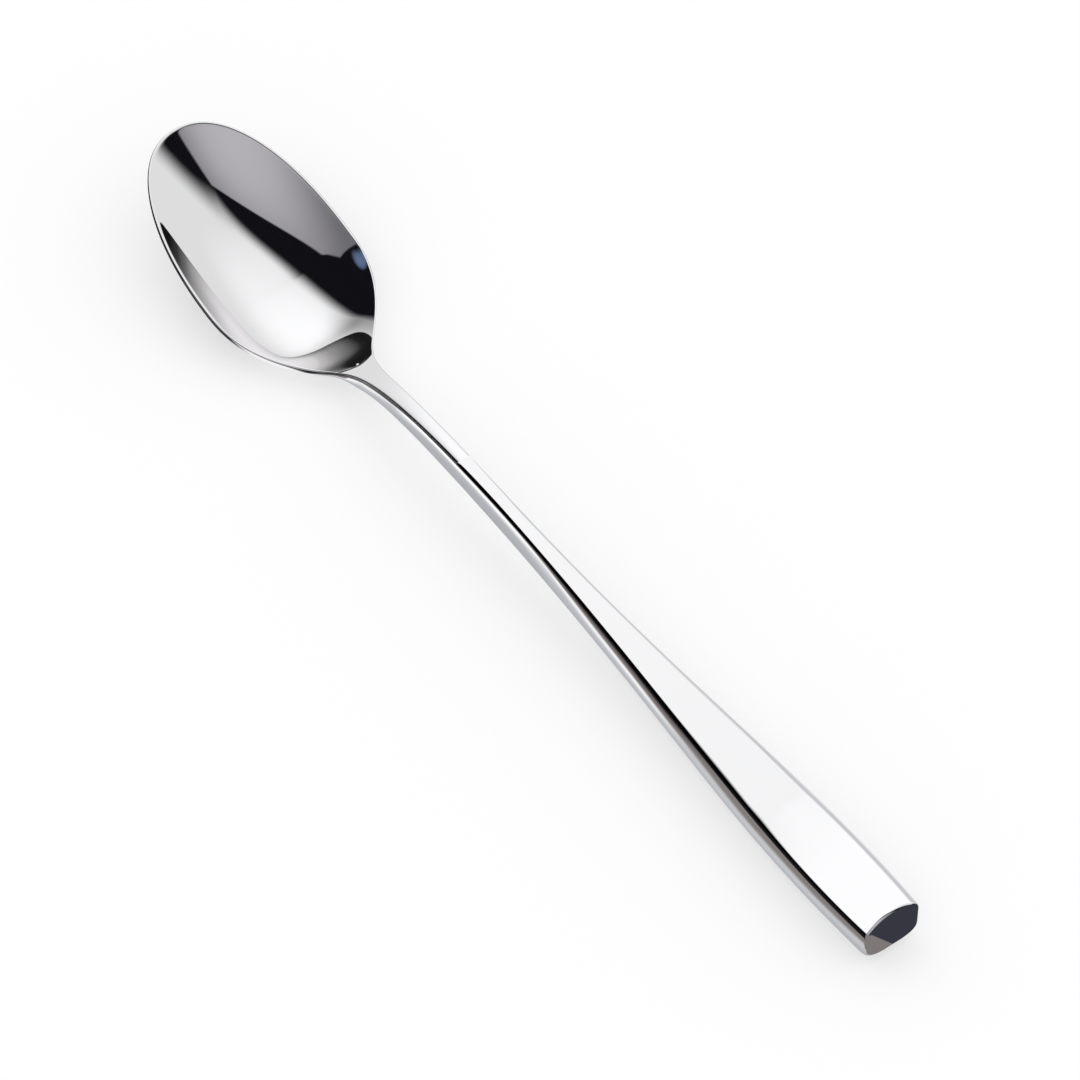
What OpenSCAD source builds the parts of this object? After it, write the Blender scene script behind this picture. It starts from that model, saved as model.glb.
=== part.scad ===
// Long slim spoon for tall glasses, forged and mirror polished.
// X runs along the spoon with the bowl's tip at the low end, and Z = 0 is the table that it rests on.
// Places along the spoon are distances from the tip, called s in the functions.

/* [Whole spoon] */
// Length from the tip of the bowl to the end of the handle
spoon_l = 190; // [170:1:220]
// Where the bowl ends and the neck starts, from the tip
bowl_l = 52; // [50:0.5:56]
// Length of the neck, from the bowl to where the handle starts to widen
neck_l = 28; // [20:1:40]

/* [Bowl outline] */
// Widest part of the bowl, across the rim
bowl_w = 29; // [25:0.1:33]
// Distance from the tip to the widest part
bowl_front_l = 28; // [24:0.5:32]
// Distance from the widest part to where the rounded outline would close
bowl_rear_l = 22.3; // [20:0.1:25]
// Width of the flat rim at the tip
rim_land = 0.5; // [0.3:0.05:1]
// Length of the hollow from the tip to the heel
hollow_l = 51; // [48:0.1:51.5]
// Size of the rounded web that joins the outline to the neck
web_blend = 2.9; // [1:0.1:4]

/* [Bowl heights] */
// Height of the rim at the tip, above the table
tip_h = 16.7; // [13:0.1:19]
// Height that the rim line would reach behind the heel
rim_low_h = 2; // [1:0.1:3]
// Length over which the rim line falls
rim_fall_l = 60; // [56:1:70]
// Thickness of the rim's edge
rim_t = 0.9; // [0.6:0.05:1.5]
// Thickness of the bowl's floor where it is deepest below the rim
floor_t = 0.75; // [0.6:0.05:2]
// How far ahead of the hollow's end the ramp at the heel would come up to the rim
ramp_end_l = 3.4; // [2:0.1:5]

/* [Neck and handle] */
// Narrowest width of the neck
neck_w = 2.5; // [2:0.1:5]
// Widest part of the handle
handle_w = 11.1; // [9:0.1:14]
// Width of the handle at its cut end
end_w = 10.4; // [8:0.1:11]
// Distance of the handle's widest part from its cut end
handle_widest_l = 13; // [8:1:30]
// Height of the creased top edge where the handle is lowest
handle_h = 7.1; // [6:0.1:9]
// Distance of that lowest place from the cut end
handle_low_l = 13; // [5:1:30]
// How much higher the line of the handle stands where it meets the bowl
handle_rise = 5.9; // [4:0.1:8]
// Depth of the dip behind the bowl
heel_dip = 7.5; // [6:0.1:9]
// Length over which the dip fades out
heel_dip_l = 14.5; // [12:0.5:18]
// Thickness below the top edge where the neck starts
neck_t = 3.5; // [2.5:0.1:4.5]
// Length over which the neck grows to the handle's thickness
neck_grow_l = 25; // [15:1:35]
// Rise of the crowned top above its edges at the cut end
crown_h = 2.5; // [0.5:0.1:3]
// Depth of the rounded belly below the handle's sides
belly_h = 1.1; // [0.8:0.1:2.5]
// How far the cut end leans back from its foot to its top edge
end_lean = 0.3; // [0:0.1:2]
// Depth that is ground off the belly to rest flat on the table
rest_cut = 0.15; // [0.05:0.05:0.3]

/* [Hidden] */

// Curves of the bowl's outline and depth: 2 is round, more is fuller
front_share = 2.2;
rear_share = 2.4;
depth_share = 1.1;
dish_share = 2.5;
hollow_rear_share = 2.6;
hollow_end_share = 1.27;
rim_fall_share = 1.45;

// Curves of the hollow's floor, and its fullness across at the tip, the middle and the heel
floor_front_share = 2.8;
floor_tip_share = 0.98;
floor_rear_share = 1.7;
floor_end_share = 0.65;
tip_dish_share = 2.15;
middle_dish_share = 2.5;
heel_dish_share = 1.4;

// The ramp at the heel: its slope, the length of its run-out and its rounding into the floor
ramp_share = 0.55;
ramp_ease_l = 0.9;
ramp_blend = 0.64;
middle_dish_l = 8.3;

// Curves of the handle
widen_share = 1.3;
crown_share = 2.4;
belly_share = 2.4;
draft_share = 0.03;
lean_start_share = 0.85;
least_hollow_share = 0.3;
side_share = 0.45;

// Small rounding where two lines of the profile meet
profile_blend = 1;
// The bowl's underside runs over into the neck's from ahead of the heel to behind the bowl's end
heel_lead_l = 7;
heel_follow_l = 2;
belly_mix_start = hollow_l - heel_lead_l;
belly_mix_end = bowl_l + heel_follow_l;
neck_end = bowl_l + neck_l;

// Numbers of cross sections along each piece and of points over half of one
bowl_steps = 40;
neck_steps = 12;
handle_steps = 30;
land_points = 2;
dish_points = 8;
half_points = dish_points + land_points;
ring_points = 4 * half_points + 2;

bowl_half = bowl_w / 2;
neck_half = neck_w / 2;
widest_s = spoon_l - handle_widest_l;
low_s = spoon_l - handle_low_l;
tip_cut = rim_land / 4;
middle = (spoon_l + tip_cut) / 2;

function smooth_max(a, b, blend) = (a + b + sqrt(pow(a - b, 2) + pow(2 * blend, 2))) / 2;
function smooth_min(a, b, blend) = a + b - smooth_max(a, b, blend);
function limit(v) = min(max(v, 0), 1);
function ease(v) = pow(limit(v), 2) * (3 - 2 * limit(v));
function mix(a, b, v) = a + (b - a) * v;

// Half width of the bowl alone; behind the heel it runs below zero
function bowl_outline(s) = s < bowl_front_l
    ? bowl_half * pow(1 - pow(1 - s / bowl_front_l, front_share), 1 / front_share)
    : bowl_half * (1 - pow((s - bowl_front_l) / bowl_rear_l, rear_share));

// Half width of the neck and handle alone
function handle_outline(s) = s < widest_s
    ? mix(neck_half, handle_w / 2, ease(pow(limit((s - neck_end) / (widest_s - neck_end)), widen_share)))
    : mix(handle_w / 2, end_w / 2, pow((s - widest_s) / handle_widest_l, 2));

// Half width of the whole spoon at its top edge
function half_width(s) = smooth_max(bowl_outline(s), handle_outline(s),
    web_blend * limit((s - bowl_front_l) / bowl_rear_l));

// Height of the top edge, which is the rim of the bowl and the crease of the handle
function rim_line(s) = rim_low_h + (tip_h - rim_low_h) * pow(limit(1 - s / rim_fall_l), rim_fall_share);
function handle_line(s) = handle_h + handle_rise * pow((low_s - s) / (low_s - bowl_l), 2)
    - heel_dip * exp((bowl_l - s) / heel_dip_l);
function edge_height(s) = smooth_max(rim_line(s), handle_line(s), profile_blend);

// Share of the bowl's full depth at a place, and the depth that just clears the table
function bowl_share(s) = pow(limit(bowl_outline(s) / bowl_half), depth_share);
outer_depth = min([for (s = [bowl_front_l : profile_blend : belly_mix_start])
    (edge_height(s) - rim_t) / bowl_share(s)]);
inner_depth = outer_depth + rim_t - floor_t;

// Way from the hollow's tip to its widest part, and from there to its end at the heel
function front_way(s) = limit((s - rim_land) / (bowl_front_l - rim_land));
function rear_way(s) = limit((s - bowl_front_l) / (hollow_l - bowl_front_l));

// Half width of the hollow
function hollow_half(s) = (bowl_half - rim_land) * (s < bowl_front_l
    ? pow(1 - pow(1 - front_way(s), front_share), 1 / front_share)
    : pow(1 - pow(rear_way(s), hollow_rear_share), hollow_end_share));

// Depth of the hollow on the centre line: a bowl whose floor runs up a ramp at the heel
function heel_ramp(s) = ramp_share * smooth_max(hollow_l - ramp_end_l - s, 0, ramp_ease_l);
function rear_depth(s) = smooth_min(
    inner_depth * pow(1 - pow(rear_way(s), floor_rear_share), floor_end_share),
    heel_ramp(s), ramp_blend * (1 - rear_way(s)));
function hollow_depth(s) = s < bowl_front_l
    ? rear_depth(bowl_front_l) * pow(1 - pow(1 - front_way(s), floor_front_share), floor_tip_share)
    : rear_depth(s);

// Fullness of the hollow across: 2 is round, more is flatter with steeper sides
middle_dish_s = bowl_front_l + middle_dish_l;
function hollow_share(s) = s < bowl_front_l
    ? mix(tip_dish_share, middle_dish_share, s / bowl_front_l)
    : mix(middle_dish_share, heel_dish_share, limit((s - middle_dish_s) / (hollow_l - middle_dish_s)));

// Thickness below the top edge, on the centre line
end_t = edge_height(low_s) + rest_cut;
function neck_thickness(s) = end_t - (end_t - neck_t) * exp((bowl_l - s) / neck_grow_l);
function bowl_thickness(s) = rim_t + outer_depth * bowl_share(s);
function thickness(s) = mix(bowl_thickness(s), neck_thickness(s),
    ease((s - belly_mix_start) / (belly_mix_end - belly_mix_start)));

// Height of the upright side below the top edge
function side_height(s) = mix(rim_t, max(thickness(s) - belly_h, side_share * thickness(s)),
    ease((s - belly_mix_start) / (belly_mix_end - belly_mix_start)));

// Rise of the crowned top on the centre line
function crown(s) = crown_h * pow(limit(handle_outline(s) * 2 / end_w), 2)
    * ease((s - bowl_l) / (neck_end - bowl_l));

// How far a point leans back from the cut end's foot, by its depth below the top edge
function lean(s, below) = end_lean * pow(limit((s / spoon_l - lean_start_share) / (1 - lean_start_share)), 2)
    * (1 - below / end_t);

// Places across half of the top, from the centre to the edge
function dish_half(s) = max(hollow_half(s), least_hollow_share * half_width(s));
function across(s) = concat(
    [for (i = [0 : dish_points]) dish_half(s) * sin(90 * i / dish_points)],
    [for (i = [1 : land_points]) mix(dish_half(s), half_width(s), i / land_points)]);

// Height of the top and of the belly at a place across
function top_height(s, y) = edge_height(s)
    + crown(s) * (1 - pow(limit(abs(y) / half_width(s)), crown_share))
    - (abs(y) < hollow_half(s) ? hollow_depth(s) * (1 - pow(abs(y) / hollow_half(s), hollow_share(s))) : 0);
function belly_height(s, share) = edge_height(s) - side_height(s)
    - (thickness(s) - side_height(s)) * (1 - pow(share, mix(dish_share, belly_share, limit(s / spoon_l))));
function foot_half(s) = half_width(s) - draft_share * (side_height(s) - rim_t);

// One cross section as a closed ring: out along the top, back along the belly, then the near side alike
function section_point(s, y, z) = [s - middle - lean(s, edge_height(s) - z), y, z];
function half_ring(s, side) = concat(
    [for (y = across(s)) section_point(s, side * y, top_height(s, y))],
    [for (i = [half_points : -1 : 0])
        let (share = sin(90 * i / half_points))
        section_point(s, side * foot_half(s) * share, belly_height(s, share))]);
function mirrored(ring) = [for (i = [len(ring) - 2 : -1 : 1]) ring[i]];
function section_ring(s) = concat(half_ring(s, 1), mirrored(half_ring(s, -1)));

// The end of a sweep, as strips between the top and the belly; first is the index of the ring's first point
function quad(p, q, r, s) = [[p, q, r], [p, r, s]];
function top_at(i, side) = side > 0 ? i : (ring_points - i) % ring_points;
function belly_at(i, side) = side > 0 ? 2 * half_points + 1 - i : 2 * half_points + 1 + i;
function end_cap(first, side) = [for (i = [0 : half_points - 1]) each side > 0
    ? quad(first + top_at(i, 1), first + top_at(i + 1, 1), first + belly_at(i + 1, 1), first + belly_at(i, 1))
    : quad(first + belly_at(i, -1), first + belly_at(i + 1, -1), first + top_at(i + 1, -1),
        first + top_at(i, -1))];
function turned(faces) = [for (face = faces) [face[0], face[2], face[1]]];

// A solid swept through the cross sections at the given places
module swept(stations) {
    last = len(stations) - 1;
    points = [for (s = stations) each section_ring(s)];
    walls = [for (r = [0 : last - 1], i = [0 : ring_points - 1])
        let (a = r * ring_points + i, b = r * ring_points + (i + 1) % ring_points)
        each [[a, b, a + ring_points], [b, b + ring_points, a + ring_points]]];
    front_cap = concat(end_cap(0, 1), end_cap(0, -1));
    back_cap = concat(end_cap(last * ring_points, 1), end_cap(last * ring_points, -1));
    polyhedron(points, concat(walls, turned(front_cap), back_cap));
}

// Places along a piece; near the tip they crowd together, where the outline turns fast
function places(from, to, steps, crowd) = [for (i = [0 : steps]) mix(from, to, pow(i / steps, crowd))];
tip_crowd = 1.6;
even = 1;

module bowl() {
    color("gainsboro")
        swept(places(tip_cut, bowl_l, bowl_steps, tip_crowd));
}

module neck() {
    color("silver")
        swept(places(bowl_l, neck_end, neck_steps, even));
}

module handle() {
    color("lightgray")
        intersection() {
            swept(places(neck_end, spoon_l, handle_steps, even));
            translate([-middle, -handle_w, 0])
                cube([spoon_l, 2 * handle_w, tip_h + handle_h]);
        }
}

bowl();
neck();
handle();
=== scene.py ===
"""Long slim spoon for tall glasses, forged from one blank of steel and mirror polished.

The spoon is modelled whole, loop by loop, and then cut into its bowl, neck and handle.
Lengths in the classes are millimetres, and finished meshes are metres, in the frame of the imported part.
"""

import logging
import math
from dataclasses import dataclass
from enum import Enum

import bmesh
import bpy
import numpy as np
from mathutils import Matrix, Vector


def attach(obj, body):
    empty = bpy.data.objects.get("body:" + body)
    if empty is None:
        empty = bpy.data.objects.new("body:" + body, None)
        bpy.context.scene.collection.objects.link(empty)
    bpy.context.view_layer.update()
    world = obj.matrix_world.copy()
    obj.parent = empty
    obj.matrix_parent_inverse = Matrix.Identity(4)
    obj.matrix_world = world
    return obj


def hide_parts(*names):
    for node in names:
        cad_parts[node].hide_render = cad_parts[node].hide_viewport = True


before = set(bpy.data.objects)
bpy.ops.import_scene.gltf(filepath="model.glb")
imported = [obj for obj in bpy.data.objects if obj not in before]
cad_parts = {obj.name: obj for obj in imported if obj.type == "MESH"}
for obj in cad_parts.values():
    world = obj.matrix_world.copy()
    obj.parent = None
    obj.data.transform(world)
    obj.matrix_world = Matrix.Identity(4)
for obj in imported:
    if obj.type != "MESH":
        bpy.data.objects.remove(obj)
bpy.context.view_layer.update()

logging.basicConfig(level=logging.INFO, format="%(message)s")
log = logging.getLogger("spoon")

MM = 0.001

# How close two places are taken as one, in millimetres and in metres
TOUCH = 1e-6
TOUCH_M = 1e-7
# The step over which a slope is measured, in millimetres
SLOPE_STEP = 0.01

# How many points or steps each stretch of the shell has
ROUND_POINTS = 6
SIDE_POINTS = 4
FOOT_POINTS = 6
FLANK_COLUMNS = 240
FLANK_SAMPLES = 4001
CUT_COLUMNS = 22
END_POINTS = 5
LIFT_POINTS = 9
HALVINGS = 50

Color = tuple[float, float, float]
Pair = tuple[float, float]
Stops = tuple[tuple[float, float | Color], ...]
Given = bpy.types.NodeSocket | bpy.types.Node | Vector | Color | float


class Piece(Enum):
    """The three named pieces that the forged blank is cut into."""

    BOWL = "bowl"
    NECK = "neck"
    HANDLE = "handle"


class Rays(Enum):
    """The Light Path outputs that tell the rays apart that see the studio."""

    CAMERA = "Is Camera Ray"
    GLOSSY = "Is Glossy Ray"


def limit(value: np.ndarray) -> np.ndarray:
    """Returns the values kept between 0 and 1."""
    return np.clip(value, 0.0, 1.0)


def ease(value: np.ndarray) -> np.ndarray:
    """Returns 0 to 1 for 0 to 1, level at both ends."""
    kept = limit(value)
    return kept * kept * (3.0 - 2.0 * kept)


def smooth_max(a: np.ndarray, b: np.ndarray, blend: np.ndarray) -> np.ndarray:
    """Returns the larger of two values, rounded over by blend where they meet."""
    return (a + b + np.sqrt((a - b) ** 2 + 4.0 * blend * blend)) / 2.0


def bend(share: float) -> tuple[float, float, float]:
    """Returns how much a rounding's start, corner and end count at a share of its way."""
    return (1.0 - share) ** 2, 2.0 * share * (1.0 - share), share ** 2


@dataclass
class SpoonForm:
    """The sizes of the spoon and the curves that follow from them, in millimetres.

    Places along the spoon, called s, are distances from the bowl's tip.
    """

    spoon_l: float = 190.0
    bowl_l: float = 52.0
    neck_l: float = 28.0
    bowl_w: float = 29.0
    bowl_front_l: float = 28.0
    bowl_rear_l: float = 22.3
    rim_land: float = 0.5
    hollow_l: float = 51.0
    web_blend: float = 2.9
    tip_h: float = 16.7
    rim_low_h: float = 2.0
    rim_fall_l: float = 60.0
    rim_t: float = 0.9
    floor_t: float = 0.62
    ramp_end_l: float = 3.42
    neck_w: float = 2.5
    handle_w: float = 11.1
    end_w: float = 10.4
    handle_widest_l: float = 13.0
    handle_h: float = 7.1
    handle_low_l: float = 13.0
    handle_rise: float = 5.9
    heel_dip: float = 7.5
    heel_dip_l: float = 14.5
    neck_t: float = 3.5
    neck_grow_l: float = 25.0
    crown_h: float = 2.5
    belly_h: float = 1.1
    end_lean: float = 0.3
    end_round: float = 0.5
    end_lift_l: float = 2.5
    end_lift_h: float = 1.4
    rest_cut: float = 0.15
    heel_lead_l: float = 7.0
    heel_follow_l: float = 2.0
    profile_blend: float = 1.0
    front_share: float = 2.2
    rear_share: float = 2.4
    depth_share: float = 1.1
    dish_share: float = 2.5
    hollow_rear_share: float = 2.9
    hollow_end_share: float = 0.7
    floor_front_share: float = 2.833
    floor_tip_share: float = 0.98
    floor_rear_share: float = 1.698
    floor_end_share: float = 0.648
    tip_dish_share: float = 2.136
    middle_dish_share: float = 2.493
    heel_dish_share: float = 2.4
    middle_dish_l: float = 8.32
    heel_dish_l: float = 1.0
    least_half: float = 0.001
    ramp_share: float = 0.62
    ramp_ease_l: float = 0.906
    ramp_blend: float = 0.637
    rim_fall_share: float = 1.45
    widen_share: float = 1.3
    crown_share: float = 2.4
    belly_share: float = 2.4
    draft_share: float = 0.03
    lean_start_share: float = 0.85
    side_share: float = 0.45
    rim_round: float = 0.05
    bowl_edge_round: float = 0.3
    handle_edge_round: float = 0.45
    side_least: float = 0.02
    foot_least: float = 0.25
    foot_round: float = 0.9
    end_foot_round: float = 1.7
    end_foot_l: float = 40.0

    def __post_init__(self) -> None:
        """Works out the sizes that follow from the others."""
        self.half = self.bowl_w / 2.0
        self.hollow_half_w = self.half - self.rim_land
        self.neck_end = self.bowl_l + self.neck_l
        self.widest_s = self.spoon_l - self.handle_widest_l
        self.low_s = self.spoon_l - self.handle_low_l
        self.tip_cut = self.rim_land / 4.0
        self.middle = (self.spoon_l + self.tip_cut) / 2.0
        self.mix_start = self.hollow_l - self.heel_lead_l
        self.mix_end = self.bowl_l + self.heel_follow_l
        self.end_t = float(self.edge_height(np.array(self.low_s))) + self.rest_cut
        along = np.arange(self.bowl_front_l, self.mix_start, self.profile_blend)
        clear = (self.edge_height(along) - self.rim_t) / self.bowl_share(along)
        self.outer_depth = float(clear.min())
        self.inner_depth = self.outer_depth + self.rim_t - self.floor_t

    def bowl_outline(self, s: np.ndarray) -> np.ndarray:
        """Works out the outline of the bowl alone.

        Args:
            s: Places along the spoon.

        Returns:
            Half widths, which run below zero behind the heel.
        """
        front = limit(1.0 - s / self.bowl_front_l) ** self.front_share
        rear = np.clip((s - self.bowl_front_l) / self.bowl_rear_l, 0.0, None) ** self.rear_share
        return np.where(s < self.bowl_front_l,
                        self.half * limit(1.0 - front) ** (1.0 / self.front_share),
                        self.half * (1.0 - rear))

    def handle_outline(self, s: np.ndarray) -> np.ndarray:
        """Works out the outline of the neck and handle alone.

        Args:
            s: Places along the spoon.

        Returns:
            Half widths.
        """
        start, full, end = self.neck_w / 2.0, self.handle_w / 2.0, self.end_w / 2.0
        way = limit((s - self.neck_end) / (self.widest_s - self.neck_end)) ** self.widen_share
        widening = start + (full - start) * ease(way)
        narrowing = full + (end - full) * ((s - self.widest_s) / self.handle_widest_l) ** 2
        return np.where(s < self.widest_s, widening, narrowing)

    def half_width(self, s: np.ndarray) -> np.ndarray:
        """Returns the half width of the whole spoon at its top edge."""
        web = self.web_blend * limit((s - self.bowl_front_l) / self.bowl_rear_l)
        return smooth_max(self.bowl_outline(s), self.handle_outline(s), web)

    def edge_height(self, s: np.ndarray) -> np.ndarray:
        """Works out the line of the rim and of the handle's top edges, seen from the side.

        Args:
            s: Places along the spoon.

        Returns:
            Heights above the table.
        """
        fall = limit(1.0 - s / self.rim_fall_l) ** self.rim_fall_share
        rim = self.rim_low_h + (self.tip_h - self.rim_low_h) * fall
        rise = self.handle_rise * ((self.low_s - s) / (self.low_s - self.bowl_l)) ** 2
        dip = self.heel_dip * np.exp((self.bowl_l - s) / self.heel_dip_l)
        return smooth_max(rim, self.handle_h + rise - dip, self.profile_blend)

    def bowl_share(self, s: np.ndarray) -> np.ndarray:
        """Returns the share of the bowl's full depth below at a place."""
        return limit(self.bowl_outline(s) / self.half) ** self.depth_share

    def front_way(self, s: np.ndarray) -> np.ndarray:
        """Returns the way from the hollow's tip to its widest part, 0 to 1."""
        return limit((s - self.rim_land) / (self.bowl_front_l - self.rim_land))

    def rear_way(self, s: np.ndarray) -> np.ndarray:
        """Returns the way from the hollow's widest part to its end at the heel, 0 to 1."""
        return limit((s - self.bowl_front_l) / (self.hollow_l - self.bowl_front_l))

    def hollow_half(self, s: np.ndarray) -> np.ndarray:
        """Returns the half width of the hollow."""
        front = (1.0 - (1.0 - self.front_way(s)) ** self.front_share) ** (1.0 / self.front_share)
        rear = (1.0 - self.rear_way(s) ** self.hollow_rear_share) ** self.hollow_end_share
        return self.hollow_half_w * np.where(s < self.bowl_front_l, front, rear)

    def rear_depth(self, s: np.ndarray) -> np.ndarray:
        """Works out how deep the hollow is behind its widest part, with the ramp up to the heel.

        Args:
            s: Places along the spoon.

        Returns:
            Depths below the rim line, on the centre line.
        """
        way = self.rear_way(s)
        dish = self.inner_depth * (1.0 - way ** self.floor_rear_share) ** self.floor_end_share
        run = self.hollow_l - self.ramp_end_l - s
        ramp = self.ramp_share * smooth_max(run, np.zeros_like(run), self.ramp_ease_l)
        return np.maximum(dish + ramp - smooth_max(dish, ramp, self.ramp_blend * (1.0 - way)), 0.0)

    def hollow_depth(self, s: np.ndarray) -> np.ndarray:
        """Returns the depth of the hollow on the centre line."""
        front = (1.0 - (1.0 - self.front_way(s)) ** self.floor_front_share) ** self.floor_tip_share
        deepest = self.rear_depth(np.full_like(s, self.bowl_front_l))
        return np.where(s < self.bowl_front_l, deepest * front, self.rear_depth(s))

    def hollow_share(self, s: np.ndarray) -> np.ndarray:
        """Works out how full the hollow is across.

        Args:
            s: Places along the spoon.

        Returns:
            Powers: 2 is round, and more is flatter with steeper sides.
        """
        start = self.bowl_front_l + self.middle_dish_l
        ahead = limit(s / self.bowl_front_l)
        behind = limit((s - start) / (self.hollow_l - self.heel_dish_l - start))
        front = self.tip_dish_share + (self.middle_dish_share - self.tip_dish_share) * ahead
        rear = self.middle_dish_share + (self.heel_dish_share - self.middle_dish_share) * behind
        return np.where(s < self.bowl_front_l, front, rear)

    def dish_depth(self, s: np.ndarray, y: np.ndarray) -> np.ndarray:
        """Returns how far the dish lies below the rim line at a place."""
        half = np.maximum(self.hollow_half(s), self.least_half)
        return self.hollow_depth(s) * (1.0 - limit(np.abs(y) / half) ** self.hollow_share(s))

    def heel_way(self, s: np.ndarray) -> np.ndarray:
        """Returns 0 on the bowl and 1 on the neck, easing over at the heel."""
        return ease((s - self.mix_start) / (self.mix_end - self.mix_start))

    def thickness(self, s: np.ndarray) -> np.ndarray:
        """Returns the thickness below the top edge, on the centre line."""
        neck = self.end_t - (self.end_t - self.neck_t) * np.exp((self.bowl_l - s) / self.neck_grow_l)
        bowl = self.rim_t + self.outer_depth * self.bowl_share(s)
        return bowl + (neck - bowl) * self.heel_way(s)

    def side_height(self, s: np.ndarray) -> np.ndarray:
        """Returns the height of the upright side below the top edge."""
        thick = self.thickness(s)
        side = np.maximum(thick - self.belly_h, self.side_share * thick)
        return self.rim_t + (side - self.rim_t) * self.heel_way(s)

    def foot_half(self, s: np.ndarray) -> np.ndarray:
        """Returns the half width at the foot of the side."""
        return self.half_width(s) - self.draft_share * (self.side_height(s) - self.rim_t)

    def crown(self, s: np.ndarray) -> np.ndarray:
        """Returns the rise of the crowned top on the centre line."""
        share = limit(self.handle_outline(s) * 2.0 / self.end_w) ** 2
        return self.crown_h * share * ease((s - self.bowl_l) / (self.neck_end - self.bowl_l))

    def crown_at(self, s: np.ndarray, y: np.ndarray) -> np.ndarray:
        """Returns the rise of the crowned top at a place."""
        return self.crown(s) * (1.0 - limit(np.abs(y) / self.half_width(s)) ** self.crown_share)

    def edge_round(self, s: np.ndarray) -> np.ndarray:
        """Returns how far the rounding of the top edge reaches in from the side."""
        way = ease((s - self.bowl_front_l) / (self.neck_end - self.bowl_front_l))
        return self.bowl_edge_round + (self.handle_edge_round - self.bowl_edge_round) * way

    def foot_reach(self, s: np.ndarray) -> np.ndarray:
        """Returns how far the rounding of the foot reaches in from the side."""
        most = self.foot_round * ease((s - self.mix_start) / (self.neck_end - self.mix_start))
        most += self.end_foot_round * ease((s - self.spoon_l + self.end_foot_l) / self.end_foot_l)
        return self.foot_least + np.minimum(most, self.half_width(s) / 2.0 - self.foot_least)

    def lean(self, s: np.ndarray, below: np.ndarray) -> np.ndarray:
        """Returns how far a point leans back from the foot of the cut end."""
        way = limit((s / self.spoon_l - self.lean_start_share) / (1.0 - self.lean_start_share))
        return self.end_lean * way ** 2 * (1.0 - below / self.end_t)

    def end_lift(self, s: np.ndarray) -> np.ndarray:
        """Returns how far the foot of the cut end is rounded up."""
        way = limit((s - self.spoon_l + self.end_lift_l) / (self.end_lift_l - self.end_round))
        return self.end_lift_h * (1.0 - np.sqrt(1.0 - way ** 2))

    def wall(self, s: np.ndarray) -> tuple[np.ndarray, np.ndarray]:
        """Follows the outside of the wall from the top's rounding down to the belly.

        Args:
            s: Places along the spoon.

        Returns:
            How far each point lies in from the outline and below the edge height, as points by places.
        """
        width = self.half_width(s)
        reach = self.edge_round(s)
        start_in = width - reach
        start_z = self.crown_at(s, start_in)
        slope = (self.crown_at(s, start_in - SLOPE_STEP) - start_z) / SLOPE_STEP
        corner_z = start_z - slope * reach
        drop = np.hypot(reach, slope * reach)
        insets, drops = [], []
        for share in np.linspace(0.0, 1.0, ROUND_POINTS + 1):
            a, b, c = bend(share)
            insets.append(a * reach)
            drops.append(-(a * start_z + b * corner_z + c * (corner_z - drop)))
        top_end = drops[-1]
        foot_in = width - self.foot_half(s)
        foot = self.foot_reach(s)
        inner = self.foot_half(s) - foot
        belly_z = self.belly_z_free(s, inner)
        belly = self.edge_height(s) - belly_z
        belly_slope = (self.belly_z_free(s, inner + SLOPE_STEP) - belly_z) / SLOPE_STEP
        foot_corner = belly - belly_slope * foot
        foot_start = foot_corner - np.hypot(foot, belly_slope * foot)
        foot_start = np.maximum(foot_start, top_end + self.side_least)
        for share in np.linspace(0.0, 1.0, SIDE_POINTS + 1)[1:-1]:
            insets.append(foot_in * share)
            drops.append(top_end + (foot_start - top_end) * share)
        for share in np.linspace(0.0, 1.0, FOOT_POINTS + 1):
            a, b, c = bend(share)
            insets.append(foot_in + c * foot)
            drops.append(a * foot_start + b * foot_corner + c * belly)
        return np.array(insets), np.array(drops)

    def belly_z_free(self, s: np.ndarray, y: np.ndarray) -> np.ndarray:
        """Works out the underside before it is ground flat.

        Args:
            s: Places along the spoon.
            y: Places across it.

        Returns:
            Heights above the table.
        """
        share = limit(np.abs(y) / self.foot_half(s))
        power = self.dish_share + (self.belly_share - self.dish_share) * limit(s / self.spoon_l)
        side = self.side_height(s)
        return self.edge_height(s) - side - (self.thickness(s) - side) * (1.0 - share ** power)


def select_open() -> None:
    """Selects the open edges of the mesh in edit mode."""
    bpy.ops.mesh.select_all(action="DESELECT")
    bpy.ops.mesh.select_non_manifold(extend=False, use_wire=False, use_multi_face=False,
                                     use_non_contiguous=False, use_verts=False)


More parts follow.
